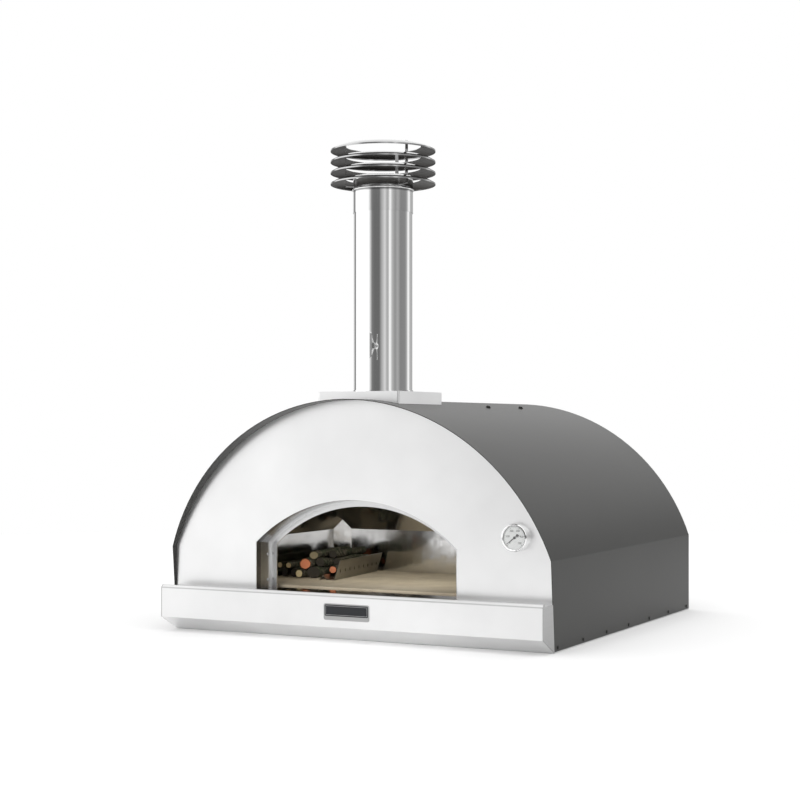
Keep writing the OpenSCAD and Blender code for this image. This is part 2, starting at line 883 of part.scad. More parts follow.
// Tapered blade, hub and round counterweight on a thin arbor
module thermometer_needle() {
    color("dimgray") gauge_frame(needle_y) {
        rotate([0, 0, -needle_angle]) {
            linear_extrude(0.8) {
                polygon([[-1.1, 0], [1.1, 0], [0.35, case_in_r - 8], [-0.35, case_in_r - 8]]);
                translate([-0.8, -9]) square([1.6, 9]);
                translate([0, -9]) circle(r = 3, $fn = 32);
                circle(r = 2.8, $fn = 32);
            }
        }
        translate([0, 0, -3.2])
            cylinder(h = 3.8, r = 1, $fn = 32);
    }
}

module thermometer_glass() {
    color("lightcyan", 0.4) gauge_frame(case_front + 1.6)
        cylinder(h = 1.5, r = case_in_r - fit / 2);
}

module thermometer_probe() {
    tip_y = inside_y + 40;
    color("goldenrod") {
        bar_y(gauge_x, panel_y - 4, probe_turn_y + probe_r, gauge_z, probe_r);
        bar_x(probe_x, gauge_x, probe_turn_y, gauge_z, probe_r * 0.8);
        bar_y(probe_x, probe_turn_y - probe_r, tip_y, gauge_z, probe_r);
    }
}

module thermometer_nut() {
    color("goldenrod") gauge_frame(panel_back + 5)
        difference() {
            cylinder(h = 5, r = 8.5, $fn = 6);
            translate([0, 0, -1])
                cylinder(h = 7, r = probe_r + run_fit);
        }
}

// ---- log guard and logs ----

module log_guard() {
    ridge = 12;
    foot_end = -50;
    slot_pitch = (guard_l - 50) / (slot_count - 1);
    color("gray") translate([-guard_x, front_y + guard_y, floor_z + fit])
        rotate([0, 0, guard_turn])
            difference() {
                along_y(0, guard_l)
                    folded_2d([[guard_lean, guard_h], [0, 0], [-26, 0], [-37, ridge], [-48, 0], [foot_end, 0]],
                        sheet_t);
                for (i = [0:slot_count - 1])
                    translate([guard_lean * 0.45, 25 + i * slot_pitch, guard_h * 0.45])
                        rotate([35, 0, 0])
                            cube([20, 4, 13], center = true);
            }
}

module log(i) {
    g = LOGS[i];
    a = [g[0], front_y + g[1], floor_z + g[2]];
    b = [g[3], front_y + g[4], floor_z + g[5]];
    color("saddlebrown") wire(a, b, g[6], 64);
}

base_tray();
floor_rails();
floor_tray();
floor_board();
floor_tiles();
outer_shell();
side_screws();
crown_studs();
back_panel();
back_screws();
front_panel();
mouth_reveal();
reveal_rivets();
mouth_flange();
sill_plate();
front_shelf();
shelf_cap(-1);  // shelf_cap_left
shelf_cap(1);  // shelf_cap_right
name_plate();
name_plate_inset();
chamber_walls();
insulation();
flue_throat();
flue_base();
flue_pipe();
damper_boss();
damper_bush();
damper_plate();
damper_spindle();
damper_handle();
cap_sleeve();
cap_struts();
cap_ring(0);  // cap_ring_1
cap_ring(1);  // cap_ring_2
cap_ring(2);  // cap_ring_3
cap_ring(3);  // cap_ring_4
thermometer_case();
thermometer_bezel();
thermometer_dial();
thermometer_needle();
thermometer_glass();
thermometer_probe();
thermometer_nut();
log_guard();
log(0);  // log_1
log(1);  // log_2
log(2);  // log_3
log(3);  // log_4
log(4);  // log_5
log(5);  // log_6
log(6);  // log_7
log(7);  // log_8
log(8);  // log_9
log(9);  // log_10
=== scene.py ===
# %% [markdown]
# # A wood fired pizza oven, dressed round its imported model
#
# The imported model already holds every sheet, tube and tile at its true size. This lesson leaves those solids
# where they are and gives each one a worked-out finish. It adds what a plain solid can't show: branches with
# bark and cut ends, a printed dial with its pointer, and a fine line round the badge.

# %% Load the frame
import math

import bpy
import numpy as np
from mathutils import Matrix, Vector


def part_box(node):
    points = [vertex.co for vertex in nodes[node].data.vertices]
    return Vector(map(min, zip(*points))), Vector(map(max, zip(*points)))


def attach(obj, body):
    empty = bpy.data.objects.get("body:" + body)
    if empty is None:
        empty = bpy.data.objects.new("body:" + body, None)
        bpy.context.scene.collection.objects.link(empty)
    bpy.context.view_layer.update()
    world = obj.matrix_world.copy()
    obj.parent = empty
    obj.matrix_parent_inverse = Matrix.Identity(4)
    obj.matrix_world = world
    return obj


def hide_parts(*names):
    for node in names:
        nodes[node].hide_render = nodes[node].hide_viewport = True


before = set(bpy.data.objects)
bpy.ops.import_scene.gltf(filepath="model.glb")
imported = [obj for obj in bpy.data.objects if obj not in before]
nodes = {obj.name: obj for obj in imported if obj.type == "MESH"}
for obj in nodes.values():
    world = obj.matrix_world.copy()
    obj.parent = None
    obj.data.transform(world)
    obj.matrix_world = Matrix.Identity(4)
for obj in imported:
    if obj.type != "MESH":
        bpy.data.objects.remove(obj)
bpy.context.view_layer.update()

# %% [markdown]
# ## Camera
#
# A product picture of a deep object is taken from a few steps away with a long lens held level, so that upright
# edges stay upright. Tilting the camera would make them lean, so the lens is shifted up a little instead.

# %% Camera
CAMERA_AT = (2.1628, -4.4608, 0.5855)
CAMERA_TURN = math.radians(27.26)
LENS_MM = 73.4
LENS_SHIFT = 0.0333

camera_data = bpy.data.cameras.new("camera")
camera_data.lens = LENS_MM
camera_data.sensor_width = 36.0
camera_data.shift_y = LENS_SHIFT
camera_data.clip_end = 60.0
camera = bpy.data.objects.new("camera", camera_data)
camera.location = CAMERA_AT
camera.rotation_euler = (math.radians(90), 0, CAMERA_TURN)
bpy.context.scene.collection.objects.link(camera)
bpy.context.scene.camera = camera
print("camera at", CAMERA_AT)

# %% [markdown]
# ## Studio
#
# Bright steel shows the room and not itself, so the room is designed first. It is a ring of white with a few
# grey panels standing in it, which draw the long upright streaks on the flue. A node ramp over the compass
# direction makes that ring as one smooth sky. The camera itself sees plain white.

# %% Sky: brightness by compass direction
TO_CAMERA = -62.9  # compass direction from the oven to the camera, in degrees from +X

# Pairs of degrees to the right of the camera and brightness, once round
SKY = [(-180, 0.25), (-172, 0.8), (-152, 0.7), (-146, 0.16), (-136, 0.3), (-124, 1.42), (-74, 1.42), (-56, 1.1),
       (-49, 0.55), (-43, 0.2), (-33, 0.15), (-14, 0.15), (-6, 0.38), (8, 0.72), (16, 0.42), (21, 0.46), (27, 1.1),
       (36, 0.5), (48, 0.3), (60, 0.42), (72, 0.24), (96, 0.26), (106, 0.4), (114, 0.9), (122, 1.0), (132, 0.5),
       (158, 0.4), (168, 0.8), (180, 0.25)]
SKY_TOP = 1.25
SKY_FADE = (0.14, 0.32)  # height on the unit sphere where the panels end and the plain ceiling begins

scene = bpy.context.scene
scene.view_settings.view_transform = "Standard"
world = bpy.data.worlds.new("studio")
scene.world = world
world.use_nodes = True
sky = world.node_tree
sky.nodes.clear()


def wire(tree, source, target):
    """Joins an output socket to an input socket."""
    tree.links.new(source, target)


def add(tree, kind, **settings):
    """Adds a node of the given kind and sets its plain properties."""
    node = tree.nodes.new("ShaderNode" + kind)
    for key, value in settings.items():
        setattr(node, key, value)
    return node


direction = add(sky, "TexCoord")
parts = add(sky, "SeparateXYZ")
wire(sky, direction.outputs["Generated"], parts.inputs[0])
compass = add(sky, "Math", operation="ARCTAN2")
wire(sky, parts.outputs["Y"], compass.inputs[0])
wire(sky, parts.outputs["X"], compass.inputs[1])
turn = add(sky, "Math", operation="WRAP")
wire(sky, compass.outputs[0], turn.inputs[0])
turn.inputs[1].default_value = math.radians(TO_CAMERA + 180)
turn.inputs[2].default_value = math.radians(TO_CAMERA - 180)
share = add(sky, "MapRange")
wire(sky, turn.outputs[0], share.inputs["Value"])
share.inputs["From Min"].default_value = math.radians(TO_CAMERA - 180)
share.inputs["From Max"].default_value = math.radians(TO_CAMERA + 180)
ring = add(sky, "ValToRGB")
wire(sky, share.outputs[0], ring.inputs[0])
SKY_SCALE = 2.0
stops = ring.color_ramp.elements
while len(stops) < len(SKY):
    stops.new(0.5)
for stop, (degrees, light) in zip(stops, SKY):
    stop.position = (degrees + 180) / 360
    stop.color = (light / SKY_SCALE,) * 3 + (1,)
scaled = add(sky, "VectorMath", operation="SCALE")
wire(sky, ring.outputs[0], scaled.inputs[0])
scaled.inputs["Scale"].default_value = SKY_SCALE
height = add(sky, "MapRange", interpolation_type="SMOOTHSTEP")
wire(sky, parts.outputs["Z"], height.inputs["Value"])
height.inputs["From Min"].default_value, height.inputs["From Max"].default_value = SKY_FADE
room = add(sky, "Mix", data_type="RGBA")
wire(sky, height.outputs[0], room.inputs["Factor"])
wire(sky, scaled.outputs[0], room.inputs["A"])
room.inputs["B"].default_value = (SKY_TOP, SKY_TOP, SKY_TOP, 1)
seen = add(sky, "LightPath")
plain = add(sky, "Mix", data_type="RGBA")
wire(sky, seen.outputs["Is Camera Ray"], plain.inputs["Factor"])
wire(sky, room.outputs["Result"], plain.inputs["A"])
plain.inputs["B"].default_value = (1, 1, 1, 1)
background = add(sky, "Background")
wire(sky, plain.outputs["Result"], background.inputs["Color"])
world_out = add(sky, "OutputWorld")
wire(sky, background.outputs[0], world_out.inputs["Surface"])
print("sky stops:", len(stops))

# %% [markdown]
# The floor is one flat disc of matt paper that glows a little, so that it meets the white behind it without an
# edge. A large soft lamp hangs over the oven. The chamber is deep and dark, so it has two weak lamps of its own.

# %% Floor and lamps
FLOOR_RADIUS = 4.4
FLOOR_SIDES = 96
FLOOR_TONE = 0.78
FLOOR_GLOW = 0.12


def light_panel(name, place, target, size, power):
    """A rectangular soft lamp at place that faces target."""
    data = bpy.data.lights.new(name, "AREA")
    data.shape = "RECTANGLE"
    data.size, data.size_y = size
    data.energy = power
    lamp = bpy.data.objects.new(name, data)
    lamp.location = place
    away = np.array(place, float) - np.array(target, float)
    lamp.rotation_mode = "QUATERNION"
    lamp.rotation_quaternion = Vector(away).to_track_quat("Z", "Y")
    scene.collection.objects.link(lamp)
    return lamp


turn_round = np.linspace(0, 2 * math.pi, FLOOR_SIDES, endpoint=False)
floor_points = np.stack([FLOOR_RADIUS * np.cos(turn_round), FLOOR_RADIUS * np.sin(turn_round),
                         0 * turn_round], 1)
floor_mesh = bpy.data.meshes.new("floor")
floor_mesh.from_pydata(floor_points.tolist(), [], [list(range(FLOOR_SIDES))])
floor = bpy.data.objects.new("floor", floor_mesh)
floor.location.z = -0.0005
scene.collection.objects.link(floor)
paper = bpy.data.materials.new("studio_floor")
paper.use_nodes = True
paper_shader = paper.node_tree.nodes["Principled BSDF"]
paper_shader.inputs["Base Color"].default_value = (FLOOR_TONE, FLOOR_TONE, FLOOR_TONE, 1)
paper_shader.inputs["Roughness"].default_value = 0.9
paper_shader.inputs["Specular IOR Level"].default_value = 0.0
paper_shader.inputs["Emission Color"].default_value = (1, 1, 1, 1)
paper_shader.inputs["Emission Strength"].default_value = FLOOR_GLOW
floor_mesh.materials.append(paper)
light_panel("top_lamp", (0.6, 0.2, 4.2), (0.2, 0, 0), (3.2, 3.2), 14)

# Two small lamps light the inside: one before the mouth, one under the roof. Mirrors don't show them.
mouth_lamp = light_panel("mouth_lamp", (0.2, -1.9, 0.5), (-0.12, 0, 0.18), (0.5, 0.35), 1.8)
roof_lamp = light_panel("roof_lamp", (0.02, -0.3, 0.425), (0.02, -0.3, 0), (0.4, 0.32), 0.5)
mouth_lamp.data.spread = math.radians(50)
for lamp in (mouth_lamp, roof_lamp):
    lamp.visible_glossy = False
    lamp.visible_camera = False
print("floor of radius", FLOOR_RADIUS, "and three lamps")

# %% [markdown]
# ## Finishes
#
# Each finish is a small node tree: one shader, a little noise to vary its colour and roughness, and a bump for
# its grain. Patterns read Object coordinates, which are metres here, so a scale of 400 means a grain of about
# 2.5 mm. Stretching the coordinates in one direction turns round grain into brush lines.


# %% Helpers for node trees
def finish(name, colour, metallic, roughness, **sockets):
    """A new material with one Principled shader; the other sockets are given by name."""
    made = bpy.data.materials.new(name)
    made.use_nodes = True
    shader = made.node_tree.nodes["Principled BSDF"]
    shader.inputs["Base Color"].default_value = (*colour, 1)
    shader.inputs["Metallic"].default_value = metallic
    shader.inputs["Roughness"].default_value = roughness
    for key, value in sockets.items():
        shader.inputs[key.replace("_", " ")].default_value = value
    return made, made.node_tree, shader


def place(tree, scale=(1, 1, 1), turn=(0, 0, 0)):
    """Object coordinates, stretched and turned."""
    source = add(tree, "TexCoord")
    mapping = add(tree, "Mapping")
    mapping.inputs["Scale"].default_value = scale
    mapping.inputs["Rotation"].default_value = turn
    wire(tree, source.outputs["Object"], mapping.inputs["Vector"])
    return mapping.outputs[0]


def noise(tree, where, scale, detail=4.0, rough=0.5):
    """Smooth noise between 0 and 1."""
    made = add(tree, "TexNoise")
    made.inputs["Scale"].default_value = scale
    made.inputs["Detail"].default_value = detail
    made.inputs["Roughness"].default_value = rough
    wire(tree, where, made.inputs["Vector"])
    return made.outputs["Fac"]


def spread(tree, value, low, high, start=0.3, end=0.7):
    """Maps noise between start and end to a range from low to high."""
    made = add(tree, "MapRange")
    wire(tree, value, made.inputs["Value"])
    made.inputs["From Min"].default_value, made.inputs["From Max"].default_value = start, end
    made.inputs["To Min"].default_value, made.inputs["To Max"].default_value = low, high
    return made.outputs[0]


def tint(tree, value, stops):
    """Turns a value into a colour along a ramp of (position, colour) stops."""
    made = add(tree, "ValToRGB")
    elements = made.color_ramp.elements
    while len(elements) < len(stops):
        elements.new(0.5)
    for element, (position, colour) in zip(elements, stops):
        element.position = position
        element.color = (*colour, 1)
    wire(tree, value, made.inputs[0])
    return made.outputs[0]


def blended(tree, share, first, second, mode="MIX"):
    """Mixes two colours by a share; each may be a socket or a plain colour."""
    made = add(tree, "Mix", data_type="RGBA", blend_type=mode)
    for socket, value in (("Factor", share), ("A", first), ("B", second)):
        if isinstance(value, tuple):
            made.inputs[socket].default_value = (*value, 1)
        elif isinstance(value, float):
            made.inputs[socket].default_value = value
        else:
            wire(tree, value, made.inputs[socket])
    return made.outputs["Result"]


def relief(tree, shader, value, strength, depth, under=None):
    """Feeds a bump of the given depth in metres to the shader's normal."""
    made = add(tree, "Bump")
    made.inputs["Strength"].default_value = strength
    made.inputs["Distance"].default_value = depth
    wire(tree, value, made.inputs["Height"])
    if under is not None:
        wire(tree, under, made.inputs["Normal"])
    wire(tree, made.outputs[0], shader.inputs["Normal"])
    return made.outputs[0]


def grey(value):
    """The same number three times."""
    return (value, value, value)


# %% [markdown]
# ### Satin and brushed steel
#
# The front, the shelf and the flue's base are stainless sheet with a fine satin grain that runs across. The
# grain is too fine to see from a few steps away, so it shows as a soft spread of the reflection and not as
# lines. A broad, weak mottling stands for handling marks.


# %% Steel finishes
def brushed(name, tone, roughness, grain, spread_by=0.05, depth=0.00004, marks=0.04, cast=(1, 1, 1)):
    """Steel with brush lines; grain holds the scale of the lines along X, Y and Z."""
    made, tree, shader = finish(name, tuple(tone * c for c in cast), 1.0, roughness)
    lines = noise(tree, place(tree, grain), 1.0, 6.0, 0.6)
    handling = noise(tree, place(tree), 4.5, 3.0)
    light, dark = (tuple(tone * c * (1 + s * marks) for c in cast) for s in (1, -1))
    wire(tree, tint(tree, handling, [(0.3, dark), (0.7, light)]), shader.inputs["Base Color"])
    worn = spread(tree, lines, roughness - spread_by, roughness + spread_by)
    wire(tree, worn, shader.inputs["Roughness"])
    relief(tree, shader, lines, 0.35, depth)
    return made


across = (3, 260, 900)
upright = (700, 700, 3)
satin_steel = brushed("satin_steel", 0.86, 0.30, across, 0.02, 0.000012)
shelf_steel = brushed("shelf_steel", 0.82, 0.3, across, 0.01, 0.000005)
reveal_steel = brushed("reveal_steel", 0.52, 0.24, (900, 900, 8), 0.02, 0.00001)
grey_steel = brushed("grey_steel", 0.42, 0.38, (260, 3, 700))
guard_steel = brushed("guard_steel", 0.34, 0.36, (400, 3, 400), marks=0.18, cast=(1, 0.95, 0.84))
zinc = brushed("zinc_steel", 0.62, 0.42, (60, 60, 60), marks=0.12)
plate_metal = brushed("plate_metal", 0.4, 0.32, (3, 100, 1500))
# The front edge of the reveal stands in the panel's shade and its rear edge catches the light
REVEAL_STEPS = [(-0.541, 0.42), (-0.525, 0.45), (-0.523, 0.85), (-0.497, 0.9), (-0.494, 1.3), (-0.481, 1.35)]
tree = reveal_steel.node_tree
shader = tree.nodes["Principled BSDF"]
depth = add(tree, "SeparateXYZ")
wire(tree, place(tree), depth.inputs[0])
inward = spread(tree, depth.outputs["Y"], 0, 1, -0.541, -0.481)
shade = tint(tree, inward, [((y + 0.541) / 0.06, grey(light)) for y, light in REVEAL_STEPS])
plain_steel = shader.inputs["Base Color"].links[0].from_socket
wire(tree, blended(tree, 1.0, plain_steel, shade, "MULTIPLY"), shader.inputs["Base Color"])

# Painted shade: a dark shadow line under the shelf's folded hem, a lighter painted shade on the hem face and a
# darker one on its top
HEM_STEPS = [(0.1225, 1.0), (0.1243, 0.62), (0.1261, 0.62), (0.1275, 0.86), (0.1312, 0.86), (0.1325, 0.6)]
tree = shelf_steel.node_tree
shader = tree.nodes["Principled BSDF"]
lift = add(tree, "SeparateXYZ")
wire(tree, place(tree), lift.inputs[0])
fold = spread(tree, lift.outputs["Z"], 0, 1, 0.12, 0.135)
shade = tint(tree, fold, [((z - 0.12) / 0.015, grey(light)) for z, light in HEM_STEPS])
plain_steel = shader.inputs["Base Color"].links[0].from_socket
wire(tree, blended(tree, 1.0, plain_steel, shade, "MULTIPLY"), shader.inputs["Base Color"])
print("brushed finishes: 7")

# %% [markdown]
# ### Polished steel
#
# The flue and its cap are drawn tube with a mirror polish. Real polish is never flat: rolling leaves faint
# ripples along the tube, so streaks waver a little. Two soft bumps, one long and one fine, do that.


# %% Polished finishes
def polished(name, tone, roughness, ripple, cast=(1, 1, 1), grain=(0.9, 0.9, 0.16)):
    """Mirror steel with slow ripples and faint drawing lines."""
    made, tree, shader = finish(name, tuple(tone * c for c in cast), 1.0, roughness)
    slow = noise(tree, place(tree, grain), 9.0, 2.0)
    fine = noise(tree, place(tree, upright), 1.0, 3.0)
    wire(tree, spread(tree, fine, roughness * 0.6, roughness * 1.5), shader.inputs["Roughness"])
    first = relief(tree, shader, slow, 0.5, ripple)
    relief(tree, shader, fine, 0.12, 0.00002, first)
    return made


polished_steel = polished("polished_steel", 0.92, 0.06, 0.0004)
cap_steel = polished("cap_steel", 0.8, 0.12, 0.0002)
strut_steel = polished("strut_steel", 0.8, 0.14, 0.0001)
sleeve_steel = polished("sleeve_steel", 0.88, 0.07, 0.0003)
mirror_steel = polished("mirror_steel", 0.55, 0.08, 0.0003, (1, 0.95, 0.92), (1, 1, 1))
damper_steel = polished("damper_steel", 0.6, 0.14, 0.0002)
bezel_chrome = polished("bezel_chrome", 0.85, 0.05, 0.0001)
chamber_steel = polished("chamber_steel", 0.8, 0.14, 0.006, (1, 0.995, 0.985), (1, 1, 1))

# The chamber's thin sheet bows in the heat, which bends its reflections
tree = chamber_steel.node_tree
shader = tree.nodes["Principled BSDF"]
across_wall = add(tree, "SeparateXYZ")
wire(tree, place(tree), across_wall.inputs[0])
bow = spread(tree, across_wall.outputs["X"], 1, 0, -0.14, 0.3)
rippled = shader.inputs["Normal"].links[0].from_socket
relief(tree, shader, bow, 1.0, 0.026, rippled)

# Painted shade: the rings' downward faces are coloured near black and made rougher, standing in for the dark their
# undersides reflect
tree = cap_steel.node_tree
facing = add(tree, "NewGeometry")
slope = add(tree, "SeparateXYZ")
wire(tree, facing.outputs["Normal"], slope.inputs[0])
under = spread(tree, slope.outputs["Z"], 1, 0, -0.6, -0.1)
shader = tree.nodes["Principled BSDF"]
wire(tree, tint(tree, under, [(0.0, grey(0.5)), (1.0, (0.05, 0.047, 0.044))]), shader.inputs["Base Color"])
wire(tree, spread(tree, under, 0.12, 0.45, 0, 1), shader.inputs["Roughness"])

# Painted shade: dark lines in the corners just above and below the sleeve's bead, standing in for dark reflections
# there
BEAD_STEPS = [(1.246, 1.0), (1.251, 0.3), (1.2525, 0.35), (1.2545, 1.0), (1.2565, 1.0), (1.2585, 0.3), (1.262, 1.0)]
tree = sleeve_steel.node_tree
lift = add(tree, "SeparateXYZ")
wire(tree, place(tree), lift.inputs[0])
band = spread(tree, lift.outputs["Z"], 0, 1, 1.24, 1.27)
shade = tint(tree, band, [((z - 1.24) / 0.03, grey(0.88 * light)) for z, light in BEAD_STEPS])
wire(tree, shade, tree.nodes["Principled BSDF"].inputs["Base Color"])
print("polished finishes: 8")

# %% [markdown]
# ### Paint, stone, glass and the rest
#
# The shell has a dark satin stove paint with a very fine texture. The floor is pressed fireclay: beige, dull
# and speckled, with a little soot. The hidden pieces get plain finishes too, since a cut or an open pose
# may show them.

# %% Painted finishes
dark_paint, tree, shader = finish("dark_paint", (0.034, 0.034, 0.032), 0.0, 0.34, Specular_IOR_Level=0.17)
grit = noise(tree, place(tree), 900.0, 2.0)
cloud = noise(tree, place(tree), 3.0, 3.0)
wire(tree, tint(tree, cloud, [(0.25, (0.029, 0.029, 0.027)), (0.75, (0.033, 0.033, 0.031))]),
     shader.inputs["Base Color"])
wire(tree, spread(tree, grit, 0.32, 0.40), shader.inputs["Roughness"])
relief(tree, shader, grit, 0.25, 0.0001)


def plain_paint(name, colour, roughness, grain=600.0, vary=0.06):
    """Paint with a slight unevenness in colour and gloss."""
    made, tree, shader = finish(name, colour, 0.0, roughness)
    dust = noise(tree, place(tree), grain, 3.0)
    low, high = (tuple(c * (1 + s * vary) for c in colour) for s in (-1, 1))
    wire(tree, tint(tree, dust, [(0.3, low), (0.7, high)]), shader.inputs["Base Color"])
    wire(tree, spread(tree, dust, roughness - 0.05, roughness + 0.05), shader.inputs["Roughness"])
    relief(tree, shader, dust, 0.15, 0.00005)
    return made


dark_enamel = plain_paint("dark_enamel", (0.016, 0.017, 0.019), 0.6)
dark_enamel.node_tree.nodes["Principled BSDF"].inputs["Specular IOR Level"].default_value = 0.2
dial_white = plain_paint("dial_white", (0.88, 0.89, 0.88), 0.6, vary=0.015)
dial_ink = plain_paint("dial_ink", (0.05, 0.05, 0.05), 0.6)
needle_black = plain_paint("needle_black", (0.09, 0.09, 0.09), 0.4)
rivet_steel = plain_paint("rivet_steel", (0.25, 0.25, 0.25), 0.4)

# %% [markdown]
# Fireclay is pressed from coarse grains, so three tones of speckle make its colour. Smoke darkens it in patches,
# and its front by the mouth is coloured darker. The glass over the dial only has to be clear and to gleam at a low
# angle.

# %% Fireclay, board, wool, brass and glass
tile_clay, tree, shader = finish("tile_clay", (0.5, 0.42, 0.29), 0.0, 0.82, Specular_IOR_Level=0.3)
speckle = noise(tree, place(tree), 420.0, 5.0, 0.7)
patch = noise(tree, place(tree), 7.0, 5.0, 0.6)
clay = tint(tree, speckle, [(0.32, (0.52, 0.44, 0.30)), (0.5, (0.68, 0.59, 0.43)), (0.68, (0.78, 0.70, 0.54))])
soot = tint(tree, patch, [(0.35, (0.80, 0.78, 0.76)), (0.6, (1, 1, 1))])
smoked = blended(tree, 1.0, clay, soot, "MULTIPLY")
# The front of the floor, by the mouth, is coloured darker and greyer than the rest
depth = add(tree, "SeparateXYZ")
wire(tree, place(tree), depth.inputs[0])
front_darkening = tint(tree, spread(tree, depth.outputs["Y"], 0, 1, -0.53, -0.25),
                 [(0.0, (0.26, 0.26, 0.29)), (0.3, (0.5, 0.5, 0.52)), (1.0, (1, 1, 1))])
wire(tree, blended(tree, 1.0, smoked, front_darkening, "MULTIPLY"), shader.inputs["Base Color"])
relief(tree, shader, speckle, 0.4, 0.0004)

board_white = plain_paint("board_white", (0.78, 0.76, 0.7), 0.9, 300.0)
wool_fibre = plain_paint("wool_fibre", (0.45, 0.41, 0.26), 0.95, 160.0, 0.25)

probe_brass, tree, shader = finish("probe_brass", (0.72, 0.5, 0.2), 1.0, 0.25)
turning = noise(tree, place(tree, (900, 40, 900)), 1.0)
wire(tree, spread(tree, turning, 0.18, 0.34), shader.inputs["Roughness"])

# The glass is flat, so a clear shader with a mirror on top stands for it and lets the light reach the dial
dial_glass = bpy.data.materials.new("dial_glass")
dial_glass.use_nodes = True
tree = dial_glass.node_tree
tree.nodes.clear()
clear = add(tree, "BsdfTransparent")
gleam = add(tree, "BsdfAnisotropic")
wire(tree, spread(tree, noise(tree, place(tree), 60.0), 0.01, 0.06), gleam.inputs["Roughness"])
edge = add(tree, "Fresnel")
edge.inputs["IOR"].default_value = 1.45
both = add(tree, "MixShader")
wire(tree, edge.outputs[0], both.inputs[0])
wire(tree, clear.outputs[0], both.inputs[1])
wire(tree, gleam.outputs[0], both.inputs[2])
glass_out = add(tree, "OutputMaterial")
wire(tree, both.outputs[0], glass_out.inputs["Surface"])
print("materials:", len(bpy.data.materials))

# %% [markdown]
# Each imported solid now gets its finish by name. The solids stay as they are, so only their look changes.

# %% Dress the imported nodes
DRESS = {
    "base_tray": zinc, "floor_rails": zinc, "floor_tray": zinc, "flue_throat": zinc,
    "floor_board": board_white, "floor_tiles": tile_clay, "insulation": wool_fibre,
    "outer_shell": dark_paint, "side_screws": dark_paint, "crown_studs": dark_paint, "back_panel": dark_paint,
    "back_screws": rivet_steel, "reveal_rivets": rivet_steel,
    "front_panel": satin_steel, "front_shelf": shelf_steel, "flue_base": satin_steel,
    "mouth_reveal": reveal_steel, "mouth_flange": reveal_steel, "sill_plate": mirror_steel,
    "shelf_cap_left": grey_steel, "shelf_cap_right": grey_steel,
    "name_plate": plate_metal, "name_plate_inset": dark_enamel, "chamber_walls": chamber_steel,
    "flue_pipe": polished_steel, "cap_sleeve": sleeve_steel, "cap_struts": strut_steel,
    "cap_ring_1": cap_steel, "cap_ring_2": cap_steel, "cap_ring_3": cap_steel, "cap_ring_4": cap_steel,
    "damper_boss": polished_steel, "damper_bush": polished_steel,
    "damper_plate": damper_steel, "damper_spindle": damper_steel, "damper_handle": damper_steel,
    "thermometer_case": bezel_chrome, "thermometer_bezel": bezel_chrome, "thermometer_dial": dial_white,
    "thermometer_needle": needle_black, "thermometer_glass": dial_glass, "thermometer_probe": probe_brass,
    "thermometer_nut": probe_brass, "log_guard": guard_steel,
}
for name, material in DRESS.items():
    node = nodes[name]
    node.data.materials.clear()
    node.data.materials.append(material)
print("dressed nodes:", len(DRESS))

# %% [markdown]
# ## Branches
#
# The firewood is a pile of small branches. Each one is a tube swept along a slightly crooked line. Its radius
# wavers slowly, swells at knots and is broken by bark ridges, all from smooth random grids, so no two are
# alike. The ends are closed by saw cuts, with the year rings drawn by the material from a radius attribute.


# %% Smooth random grids
def soft_grid(around, along, cells_around, cells_along, seed):
    """Random values on a coarse grid, closed round the branch and joined by a smooth step between cells."""
    rng = np.random.default_rng(seed)
    values = rng.uniform(-1, 1, (cells_along + 1, cells_around))
    u = (around % 1.0) * cells_around
    v = np.clip(along, 0, 1) * (cells_along - 1e-6)
    iu, iv = np.floor(u).astype(int), np.floor(v).astype(int)
    fu, fv = u - iu, v - iv
    fu, fv = fu * fu * (3 - 2 * fu), fv * fv * (3 - 2 * fv)
    i0, i1 = iu % cells_around, (iu + 1) % cells_around
    low = values[iv, i0] * (1 - fu) + values[iv, i1] * fu
    high = values[iv + 1, i0] * (1 - fu) + values[iv + 1, i1] * fu
    return low * (1 - fv) + high * fv


def mesh_object(name, points, faces, material, attributes=None, smooth=True):
    """A mesh object at the origin from points and faces, with float values per point by name."""
    data = bpy.data.meshes.new(name)
    data.from_pydata(points.tolist(), [], faces)
    for key, values in (attributes or {}).items():
        data.attributes.new(key, "FLOAT", "POINT").data.foreach_set("value", values.astype(np.float32))
    data.polygons.foreach_set("use_smooth", np.full(len(data.polygons), smooth))
    data.materials.append(material)
    data.update()
    made = bpy.data.objects.new(name, data)
    scene.collection.objects.link(made)
    return made


def grid_faces(rows, columns, closed):
    """Quads between the rows of a grid of points; closed joins the last column to the first."""
    r, c = np.meshgrid(np.arange(rows - 1), np.arange(columns if closed else columns - 1), indexing="ij")
    n = (c + 1) % columns
    quads = [r * columns + c, r * columns + n, (r + 1) * columns + n, (r + 1) * columns + c]
    return np.stack(quads, -1).reshape(-1, 4)


# %% [markdown]
# One material serves every branch, bark and saw cuts alike. The mesh carries a few values for it: where the cut
# is, how far out from the middle a point lies, and how warm and how old the cut is. Year rings are a sine wave
# over the distance from the middle.

# %% Bark and cut wood
YEAR_RINGS = 42.0  # phase from the middle to the bark, in radians
wood, tree, shader = finish("branch_wood", (0.1, 0.09, 0.06), 0.0, 0.85, Specular_IOR_Level=0.25)
rim = add(tree, "Attribute", attribute_name="rim")
cut = add(tree, "Attribute", attribute_name="cut")
warm = add(tree, "Attribute", attribute_name="warmth")
old = add(tree, "Attribute", attribute_name="age")
fissure = noise(tree, place(tree, (1, 1, 1)), 130.0, 6.0, 0.65)
moss = noise(tree, place(tree), 34.0, 5.0, 0.6)
bark = tint(tree, fissure, [(0.34, (0.018, 0.015, 0.010)), (0.5, (0.075, 0.066, 0.045)), (0.66, (0.20, 0.18, 0.13))])
green = tint(tree, fissure, [(0.36, (0.016, 0.019, 0.012)), (0.6, (0.085, 0.092, 0.055))])
bark = blended(tree, spread(tree, moss, 0.0, 1.0, 0.44, 0.56), bark, green)
wave = add(tree, "Math", operation="SINE")
rings = add(tree, "Math", operation="MULTIPLY")
wire(tree, rim.outputs["Fac"], rings.inputs[0])
